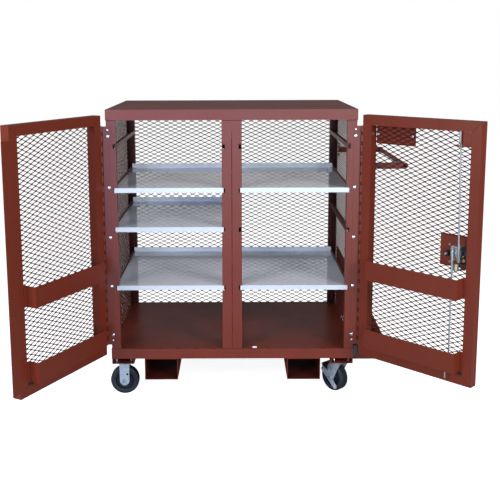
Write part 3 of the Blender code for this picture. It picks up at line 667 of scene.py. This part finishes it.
def fork_hole(end, matrix):
    """Spare hole in each leg of a rigid fork, shown as a dark disc of painted shadow."""
    bm = bmesh.new()
    for side in (-1, 1):
        add_ngon(bm, 0.0056, 16, "Y", (-side * 0.0150, WHEEL_Z + 0.037),
                 side * (LEG_OUT - 0.001), side * (LEG_OUT + 0.0003))
    piece(f"fork_hole_shadows_{end}", bm, matrix, SHADOW_FILL, "cabinet", smooth=0)


def brake_arms(end, matrix):
    """Slanted brake arms over both legs of a swivel fork, with two rivets each."""
    bm = bmesh.new()
    near = LEG_OUT + 0.0022
    far = near + 0.0030
    arm = [(0.088, -0.094), (0.101, -0.101), (0.103, -0.116), (0.092, -0.124),
           (0.060, -0.150), (0.016, -0.190), (0.004, -0.198), (-0.008, -0.194),
           (-0.012, -0.181), (0.020, -0.146), (0.056, -0.112)]
    for side in (-1, 1):
        add_prism(bm, arm, "Y", *sorted((side * near, side * far)))
        add_dome(bm, 0.0060, 0.0030, "Y", (0.088, -0.109), side * far, side)
        add_dome(bm, 0.0050, 0.0028, "Y", (0.004, -0.184), side * far, side)
    piece(f"brake_arms_{end}", bm, matrix, PLATE, f"swivel_{end}", smooth=35,
          bevel=0.0004)


def pedal_cheeks(end, matrix):
    """Side cheeks of a brake pedal, between the tyre and the fork legs."""
    bm = bmesh.new()
    cheek = [(0.012, -0.004), (0.034, -0.012), (0.072, -0.030), (0.078, -0.044),
             (0.064, -0.060), (0.040, -0.050), (0.016, -0.030)]
    for side in (-1, 1):
        add_prism(bm, cheek, "Y", *sorted((side * 0.0262, side * 0.0286)))
    spot = matrix @ Matrix.Translation((0.030, 0, -0.0525))
    piece(f"pedal_cheeks_{end}", bm, spot, BLACK, f"pedal_{end}", bevel=0.0005)


def swivel_details(end, matrix):
    """Race cover under the plate and the collar of the king pin below the crown."""
    ring = bmesh.new()
    top = PLATE_TOP - PLATE_THICK
    profile = [(0, top - 0.0061), (0.0385, top - 0.0061), (0.0405, top - 0.0045),
               (0.0405, top - 0.0025), (0.0375, top - 0.0004), (0, top - 0.0004)]
    add_turned(ring, profile, "Z", (0, 0), 48)
    piece(f"race_cover_{end}", ring, matrix, PLATE, "cabinet", smooth=50)
    crown = bmesh.new()
    low = top - 0.0065 - GAP - 0.004
    add_turned(crown, [(0.0135, low - 0.0002), (0.0135, low - 0.0030), (0.0095, low - 0.0060),
                       (0.0095, low - 0.0002)], "Z", (0, 0), 32)
    piece(f"kingpin_collar_{end}", crown, matrix, PLATE, f"swivel_{end}", smooth=50)


def casters():
    """Rigid casters on the left and swivel casters with brakes on the right."""
    for end, y in (("front", CASTER_Y), ("rear", DEPTH - CASTER_Y)):
        left = CABINET @ Matrix.Translation((-CASTER_X, y, 0))
        wheel(f"wheel_left_{end}_tyre", left @ Matrix.Translation((0, 0, WHEEL_Z)),
              f"wheel_left_{end}", f"caster_wheel_left_{end}")
        axle_ends(f"axle_nuts_left_{end}", left, 0, "cabinet")
        plate_bolts(f"plate_bolts_left_{end}", left)
        fork_hole(end, left)
        swivel = swivel_matrix(end)
        wheel(f"wheel_right_{end}_tyre", swivel @ Matrix.Translation((TRAIL, 0, WHEEL_Z)),
              f"wheel_right_{end}", f"caster_wheel_right_{end}")
        axle_ends(f"axle_nuts_right_{end}", swivel, TRAIL, f"swivel_{end}")
        plate_bolts(f"plate_bolts_right_{end}",
                    CABINET @ Matrix.Translation((CASTER_X, y, 0)))
        swivel_details(end, swivel)
        brake_arms(end, swivel)
        pedal_cheeks(end, swivel)


# ------------------------------------------------------------------- door lock
LOCK_BACK, LOCK_FRONT = DOOR_REAR + 0.0058, DOOR_FACE - 0.0125


def lock_body():
    """Open case of the rod lock: front plate, edges, a latch tongue and two screws."""
    bm = bmesh.new()
    front = LOCK_FRONT
    deep = (LOCK_BACK, front - 0.003)
    add_box(bm, (-0.561, -0.513), (front - 0.0025, front), (0.640, 0.691))
    add_box(bm, (-0.561, -0.558), deep, (0.618, 0.691))
    add_box(bm, (-0.516, -0.513), deep, (0.628, 0.691))
    add_box(bm, (-0.559, -0.515), deep, (0.688, 0.691))
    add_box(bm, (-0.538, -0.519), (front + 0.0005, front + 0.003), (0.622, 0.668))
    add_ngon(bm, 0.0042, 6, "Y", (-0.5395, 0.676), front, front + 0.0035)
    add_ngon(bm, 0.0034, 6, "Y", (-0.556, 0.652), front, front + 0.0032)
    made = piece("lock_body", bm, RIGHT, ZINC, "right_door", bevel=0.0006)
    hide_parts("lock_case")


def lock_nuts():
    """Two nuts that fix the lock to its plate."""
    bm = bmesh.new()
    for at, z in ((0.4925, 0.690), (0.4945, 0.606)):
        nut_and_washer(bm, "Y", (-at, z), LOCK_BACK, 1, 0.0052, 0.0040)
    piece("lock_nuts", bm, RIGHT, ROD, "right_door", bevel=0.0003)


def lock_knob():
    """Black knob with a bright cap, and black blocks beside the case that are painted shade of the
    gap by the stile.
    """
    spot, back, front = (-0.489, 0.650), LOCK_BACK, LOCK_FRONT
    bm = bmesh.new()
    turned = [(0, back), (0.0125, back), (0.0135, back + 0.004), (0.0135, front - 0.006),
              (0.0115, front + 0.001), (0.0080, front + 0.004), (0, front + 0.005)]
    add_turned(bm, turned, "Y", spot, 28)
    # Black blocks by the stile: painted shade of the dark gap beside the case.
    add_box(bm, (-0.5985, -0.5660), (back, back + 0.008), (0.640, 0.690))
    add_box(bm, (-0.5985, -0.5900), (back, back + 0.014), (0.602, 0.690))
    add_box(bm, (-0.5900, -0.5520), (back, front - 0.006), (0.603, 0.6105))
    piece("lock_knob", bm, RIGHT, BLACK, "right_door", smooth=50, bevel=0.0006)
    cap = bmesh.new()
    add_turned(cap, [(0, front + 0.0045), (0.0062, front + 0.0048), (0.0058, front + 0.0068),
                     (0, front + 0.0074)], "Y", spot, 20)
    piece("lock_knob_cap", cap, RIGHT, BOLT, "right_door", smooth=50)


def lock_gears():
    """Four short brass columns in and beside the case."""
    bm = bmesh.new()
    for at, z, radius, low, high in ((0.5455, 0.632, 0.0085, LOCK_BACK, LOCK_FRONT - 0.001),
                                     (0.5455, 0.657, 0.0060, LOCK_FRONT, LOCK_FRONT + 0.0030),
                                     (0.5820, 0.629, 0.0075, LOCK_BACK, LOCK_FRONT),
                                     (0.5760, 0.648, 0.0045, LOCK_BACK, LOCK_FRONT - 0.002)):
        add_ngon(bm, radius, 24, "Y", (-at, z), low, high)
    piece("lock_gears", bm, RIGHT, BRASS, "right_door", bevel=0.0005)


def lock_barrel():
    """Brass key barrel that hangs below the case."""
    bm = bmesh.new()
    spot = (-0.5370, LOCK_FRONT - 0.0125)
    add_ngon(bm, 0.0130, 28, "Z", spot, 0.575, 0.6045)
    add_ngon(bm, 0.0105, 28, "Z", spot, 0.571, 0.575)
    piece("lock_barrel", bm, RIGHT, PALE_BRASS, "right_door", bevel=0.0005)


def lock_cam():
    """Oval cam plate with a pin for each rod and a nut on its spindle."""
    bm = bmesh.new()
    face = DOOR_FACE - 0.0083
    outline = [(0.027 * math.cos(a), 0.013 * math.sin(a))
               for a in (math.tau * i / 28 for i in range(28))]
    add_prism(bm, outline, "Y", face, face + 0.0022)
    for side in (-1, 1):
        add_ngon(bm, 0.0042, 20, "Y", (side * ROD_OFFSET, 0), face, face + 0.0040)
    add_ngon(bm, 0.0075, 6, "Y", (0, 0), face, face + 0.0036, turn=0.2)
    turn = RIGHT @ Matrix.Translation((-CAM_AT, 0, CAM_Z))
    piece("lock_cam_plate", bm, turn, ZINC, "latch", bevel=0.0004)


def lock_details():
    """All parts of the rod lock on the inside of the right door."""
    lock_body()
    lock_nuts()
    lock_knob()
    lock_gears()
    lock_barrel()
    lock_cam()


def rod_sleeve(low, high, x, taper):
    """A thicker sleeve at the lock end of a rod, tapered at one of its ends."""
    bm = bmesh.new()
    y = DOOR_FACE + ROD_RUN
    profile = [(0.0, low), (0.0050, low), (0.0054, low + taper * 0.001),
               (0.0054, high - taper * 0.014), (0.0044, high), (0.0, high)]
    add_turned(bm, profile, "Z", (x, y), 24)
    return bm


def lock_rods():
    """Round rods with rounded bends, and the sleeves at their lock ends."""
    y = DOOR_FACE + ROD_RUN
    low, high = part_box("lock_rod_lower"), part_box("lock_rod_upper")
    base = CABINET.translation.z
    x = -CAM_AT - ROD_OFFSET
    top = high[1].z - base
    upper = rounded([(x - ROD_SLANT, y, CAM_Z - 0.025), (x, y, 1.130), (x, y, 1.171),
                     (x, y + 0.0092, 1.183), (x, y + 0.0092, top - 0.0005)], 0.006)
    made = tube("upper_rod", upper, 0.0040, RIGHT, ROD, "rod_upper")
    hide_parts("lock_rod_upper")
    piece("upper_rod_sleeve", rod_sleeve(0.620, 0.712, x - ROD_SLANT, 1), RIGHT, ROD, "rod_upper",
          smooth=50)
    x = -CAM_AT + ROD_OFFSET
    bottom = low[0].z - base
    lower = rounded([(x, y, CAM_Z + 0.025), (x, y, 0.0945), (x, DOOR_FACE + 0.031, 0.0835),
                     (x, DOOR_FACE + 0.031, bottom + 0.0005)], 0.008)
    made = tube("lower_rod", lower, 0.0040, RIGHT, ROD, "rod_lower")
    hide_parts("lock_rod_lower")
    piece("lower_rod_sleeve", rod_sleeve(0.676, 0.566, x, -1), RIGHT, ROD, "rod_lower",
          smooth=50)


def sign_bolts():
    """Bolts of the blank plate, with nuts inside and domed heads outside."""
    bm = bmesh.new()
    for at in (0.070, 0.268):
        add_dome(bm, 0.0065, 0.0028, "Y", (-at, 1.185), DOOR_REAR - 0.0035, -1)
        nut_and_washer(bm, "Y", (-at, 1.185), DOOR_REAR + 0.0030, 1, 0.0055, 0.0045)
    piece("blank_plate_bolts", bm, RIGHT, BOLT, "right_door")


def outside_lock():
    """Round rose outside, around the lever's spindle."""
    bm = bmesh.new()
    profile = [(0, DOOR_REAR - 0.0002), (0.030, DOOR_REAR - 0.0002), (0.030, DOOR_REAR - 0.003),
               (0.026, DOOR_REAR - 0.0065), (0, DOOR_REAR - 0.0065)]
    add_turned(bm, profile, "Y", (-CAM_AT, CAM_Z), 40)
    piece("lock_rose", bm, RIGHT, ZINC, "right_door", smooth=40)


# ------------------------------------------------------------------ push handle
def push_handle():
    """Arms with round ends, feet and carriage bolts, and a tube with open ends."""
    half, reach = HANDLE_TALL / 2, HANDLE_REACH
    front, back = HANDLE_Y, DEPTH - HANDLE_Y
    foot = POST_OUT + 0.0035
    bm = bmesh.new()
    arc = [(reach + half * math.cos(a), HANDLE_Z + half * math.sin(a))
           for a in (math.pi * (i / 16 - 0.5) for i in range(17))]
    outline = [(foot, HANDLE_Z + half), (foot, HANDLE_Z - half)] + arc
    for low, high in ((front, front + 0.006), (back - 0.006, back)):
        add_prism(bm, outline, "Y", low, high)
    for low, high in ((front, front + 0.034), (back - 0.034, back)):
        add_box(bm, (foot, foot + 0.003), (low, high), (HANDLE_Z - 0.045, HANDLE_Z + 0.045))
    made = piece("push_handle_arms", bm, CABINET, PAINT, "cabinet", bevel=0.0009)
    cutter = bmesh.new()
    add_ngon(cutter, 0.0102, 32, "Y", (reach, HANDLE_Z), front - 0.01, back + 0.01)
    bmesh.ops.recalc_face_normals(cutter, faces=cutter.faces)
    mesh = bpy.data.meshes.new("bore")
    cutter.to_mesh(mesh)
    cutter.free()
    tool = bpy.data.objects.new("bore", mesh)
    bpy.context.scene.collection.objects.link(tool)
    tool.matrix_world = CABINET
    hole = made.modifiers.new("bore", "BOOLEAN")
    hole.operation = "DIFFERENCE"
    hole.object = tool
    made.modifiers.move(1, 0)
    bpy.context.view_layer.update()
    graph = bpy.context.evaluated_depsgraph_get()
    cut = bpy.data.meshes.new_from_object(made.evaluated_get(graph))
    made.modifiers.clear()
    made.data = cut
    bpy.data.objects.remove(tool)
    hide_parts("push_handle")
    pipe = bmesh.new()
    steps, inner, outer = 32, 0.0103, 0.0130
    low, high = front + 0.001, back - 0.001
    rings = [[pipe.verts.new((reach + r * math.cos(math.tau * i / steps), y,
                              HANDLE_Z + r * math.sin(math.tau * i / steps)))
              for i in range(steps)] for r, y in ((outer, low), (outer, high), (inner, high),
                                                  (inner, low))]
    for k in range(4):
        for i in range(steps):
            j = (i + 1) % steps
            pipe.faces.new((rings[k][i], rings[k][j], rings[(k + 1) % 4][j],
                            rings[(k + 1) % 4][i]))
    piece("push_handle_tube", pipe, CABINET, PAINT, "cabinet", smooth=40)
    bolts = bmesh.new()
    for y in (front + 0.022, back - 0.022):
        for z in (HANDLE_Z - 0.032, HANDLE_Z + 0.032):
            add_dome(bolts, 0.0072, 0.0030, "X", (y, z), foot + 0.003, 1)
    piece("push_handle_bolts", bolts, CABINET, BOLT, "cabinet")


def wing_gussets():
    """Triangular plates with a foot and a turned flange along the slope."""
    near = POST_OUT + 0.0035
    low, high, reach = -0.022, 0.424, 0.858
    slope = [(near, low), (reach, low), (reach, low + 0.006), (near + 0.006, high), (near, high)]
    for word, y, step in (("front", HANDLE_Y, 1), ("rear", DEPTH - HANDLE_Y, -1)):
        bm = bmesh.new()
        add_prism(bm, slope, "Y", *sorted((y, y + step * 0.003)))
        add_box(bm, (near, near + 0.003), (y, y + step * 0.026), (low, high))
        edge = [(reach - 0.0035, low), (reach, low), (reach, low + 0.006),
                (near + 0.006, high), (near + 0.0030, high), (reach - 0.0035, low + 0.0045)]
        add_prism(bm, edge, "Y", *sorted((y + step * 0.0025, y + step * 0.022)))
        made = piece(f"wing_{word}", bm, CABINET, PAINT, "cabinet", bevel=0.0006)
        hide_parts(f"wing_gusset_{word}")


# ------------------------------------------------------------------------ welds
def add_bead(bm, start, end, radius, normal, rng):
    """A weld bead: overlapping low domes along a line."""
    start, end, normal = Vector(start), Vector(end), Vector(normal).normalized()
    length = (end - start).length
    along = (end - start).normalized()
    across = along.cross(normal)
    count = max(2, int(length / 0.0032))
    rings = []
    for i in range(count + 1):
        t = i / count
        swell = radius * (0.82 + 0.30 * rng.random()) * (0.45 if i in (0, count) else 1)
        centre = start.lerp(end, t) + across * radius * 0.25 * (rng.random() - 0.5)
        rings.append([bm.verts.new(centre + across * swell * math.cos(a)
                                   + normal * swell * 0.55 * math.sin(a))
                      for a in (math.pi * k / 6 - 0.35 * (k == 0) + 0.35 * (k == 6)
                                for k in range(7))])
    for low, high in zip(rings, rings[1:]):
        for k in range(7):
            j = (k + 1) % 7
            bm.faces.new((low[k], low[j], high[j], high[k]))
    bm.faces.new(rings[0])
    bm.faces.new(rings[-1][::-1])


def welds():
    """Stitch welds at the floor edge, post feet, post corners, top flange and centre seam."""
    rng = np.random.default_rng(7)
    bm = bmesh.new()
    up = (0, -1, 1)
    for side in (-1, 1):
        for k in range(6):
            x = side * (0.085 + k * 0.094)
            add_bead(bm, (x, 0.0005, FLOOR_TOP), (x + side * 0.026, 0.0005, FLOOR_TOP),
                     0.0019, up, rng)
        foot_in, foot_out = side * (POST_IN + 0.001), side * (POST_OUT - 0.001)
        for y, out in ((0.0, -1), (DEPTH, 1)):
            add_bead(bm, (foot_in, y, FLOOR_TOP), (foot_out, y, FLOOR_TOP), 0.0016,
                     (0, out, 0), rng)
        for z in (0.070, 0.175, 0.300, 0.560, 0.800, 1.060, 1.180):
            add_bead(bm, (side * (POST_IN - 0.0002), POST_DEEP, z),
                     (side * (POST_IN - 0.0002), POST_DEEP, z + 0.024), 0.0014, (-side, 0, 0),
                     rng)
        add_bead(bm, (side * (POST_IN - 0.001), -0.0010, TOP - FLANGE),
                 (side * (POST_OUT + 0.001), -0.0010, TOP - FLANGE), 0.0034, (0, -1, -0.2), rng)
    add_bead(bm, (-CENTRE_HALF, 0.0, FLOOR_TOP), (CENTRE_HALF, 0.0, FLOOR_TOP), 0.0017,
             (0, -1, 0.3), rng)
    add_bead(bm, (-CENTRE_HALF, -0.0010, TOP - FLANGE), (CENTRE_HALF, -0.0010, TOP - FLANGE),
             0.0032, (0, -1, -0.2), rng)
    for z0, z1 in ((1.196, 1.166), (0.995, 0.987), (0.873, 0.861), (0.714, 0.691),
                   (0.589, 0.511), (0.439, 0.431), (0.344, 0.251), (0.144, 0.060)):
        add_bead(bm, (0, 0.0002, z0), (0, 0.0002, z1), 0.0016, (0, -1, 0), rng)
    piece("frame_welds", bm, CABINET, WELD, "cabinet", smooth=60)


def door_mitres():
    """Ground-off mitre welds at the corners of the door frames, inside and out."""
    for word, (matrix, hand, body) in DOORS.items():
        bm = bmesh.new()
        for face, sign in ((DOOR_FACE, 1), (DOOR_REAR, -1)):
            for x, dx in ((DOOR_NEAR, 1), (DOOR_FAR, -1)):
                for z, dz in ((DOOR_LOW, 1), (DOOR_HIGH, -1)):
                    start = Vector((x + dx * 0.0015, z + dz * 0.0015))
                    end = Vector((x + dx * (STILE - 0.001), z + dz * (STILE - 0.001)))
                    side = Vector((-dz, dx)).normalized() * 0.0009
                    corners = [start - side, end - side, end + side, start + side]
                    outline = [(hand * c.x, c.y) for c in corners]
                    add_prism(bm, outline, "Y", *sorted((face - sign * 0.0006,
                                                         face + sign * 0.00022)))
        piece(f"mitre_welds_{word}", bm, matrix, WELD, body, smooth=0)


# ------------------------------------------------------------- light and camera
def area_light(name, size, power, location, target, colour=(1, 1, 1)):
    data = bpy.data.lights.new(name, "AREA")
    data.shape = "RECTANGLE"
    data.size, data.size_y = size
    data.energy = power
    data.color = colour
    made = bpy.data.objects.new(name, data)
    bpy.context.scene.collection.objects.link(made)
    made.location = location
    made.rotation_euler = (Vector(target) - Vector(location)).to_track_quat("-Z", "Y").to_euler()
    return made


def choose_for_camera(nodes, links, usual, seen, target):
    """Show the camera a white studio while the object reflects a dimmer room."""
    path = nodes.new("ShaderNodeLightPath")
    choose = nodes.new("ShaderNodeMixShader")
    links.new(path.outputs["Is Camera Ray"], choose.inputs[0])
    links.new(usual, choose.inputs[1])
    links.new(seen, choose.inputs[2])
    links.new(choose.outputs[0], target)


def studio():
    """Pale floor and backdrop, a dim surround and soft lights from the front."""
    scene = bpy.context.scene
    world = bpy.data.worlds.new("studio")
    scene.world = world
    world.use_nodes = True
    nodes, links = world.node_tree.nodes, world.node_tree.links
    room = nodes["Background"]
    room.inputs["Color"].default_value = (0.88, 0.93, 1.0, 1)
    room.inputs["Strength"].default_value = 0.20
    backdrop = nodes.new("ShaderNodeBackground")
    backdrop.inputs["Color"].default_value = (1.0, 1.0, 1.0, 1)
    choose_for_camera(nodes, links, room.outputs[0], backdrop.outputs[0],
                      nodes["World Output"].inputs["Surface"])
    floor = bmesh.new()
    bmesh.ops.create_grid(floor, x_segments=1, y_segments=1, size=14)
    mesh = bpy.data.meshes.new("studio_floor")
    floor.to_mesh(mesh)
    floor.free()
    mat, nodes, links = new_material("pale_floor")
    pale = nodes["Principled BSDF"]
    pale.inputs["Base Color"].default_value = (0.90, 0.90, 0.90, 1)
    pale.inputs["Roughness"].default_value = 0.9
    pale.inputs["Emission Color"].default_value = (1.0, 1.0, 1.0, 1)
    pale.inputs["Emission Strength"].default_value = 0.85
    plain = nodes.new("ShaderNodeBsdfDiffuse")
    plain.inputs["Color"].default_value = (0.34, 0.34, 0.34, 1)
    choose_for_camera(nodes, links, plain.outputs[0], pale.outputs[0],
                      nodes["Material Output"].inputs["Surface"])
    mesh.materials.append(mat)
    ground = bpy.data.objects.new("studio_floor", mesh)
    scene.collection.objects.link(ground)
    centre = CABINET.translation
    for side, power in ((-1, 162), (1, 150)):
        area_light(f"side_light_{side}", (1.8, 1.8), power,
                   centre + Vector((side * 3.3, -3.5, 2.3)), centre + Vector((0, 0, 0.55)))
    for side, power, colour in ((-1, 130, (0.44, 0.60, 1.0)), (1, 104, (0.60, 0.88, 1.0))):
        area_light(f"front_card_{side}", (3.2, 2.4), power,
                   centre + Vector((side * 1.62, -6.2, 0.95)),
                   centre + Vector((side * 0.8, 0, 0.95)), colour)
    area_light("back_card", (1.9, 0.52), 1.9, centre + Vector((0, 2.3, 1.10)),
               centre + Vector((0, 0, 1.10)))
    area_light("top_light", (3.0, 2.4), 14, centre + Vector((0, -0.4, 3.4)),
               centre + Vector((0, 0.3, 0)))
    scene.view_settings.view_transform = "Standard"


def camera():
    """Straight in front of the cabinet and slightly above it."""
    data = bpy.data.cameras.new("camera")
    data.lens = 58.71
    data.sensor_width = 36.0
    data.shift_x, data.shift_y = 0.0288, -0.1279
    made = bpy.data.objects.new("camera", data)
    bpy.context.scene.collection.objects.link(made)
    spot, tilt, roll = (0.0192, -4.0903, 1.5834), 0.161, -0.0031
    made.matrix_world = (CABINET @ Matrix.Translation(spot)
                         @ Matrix.Rotation(math.pi / 2 - tilt, 4, "X")
                         @ Matrix.Rotation(roll, 4, "Z"))
    bpy.context.scene.camera = made


# -------------------------------------------------------------------- assembly
dress_nodes()
wall_meshes()
door_meshes()
notch_shadows()
rail_lips()
hinge_knuckles()
casters()
lock_details()
lock_plate_folds()
lock_rods()
sign_bolts()
outside_lock()
push_handle()
wing_gussets()
welds()
door_mitres()
studio()
camera()
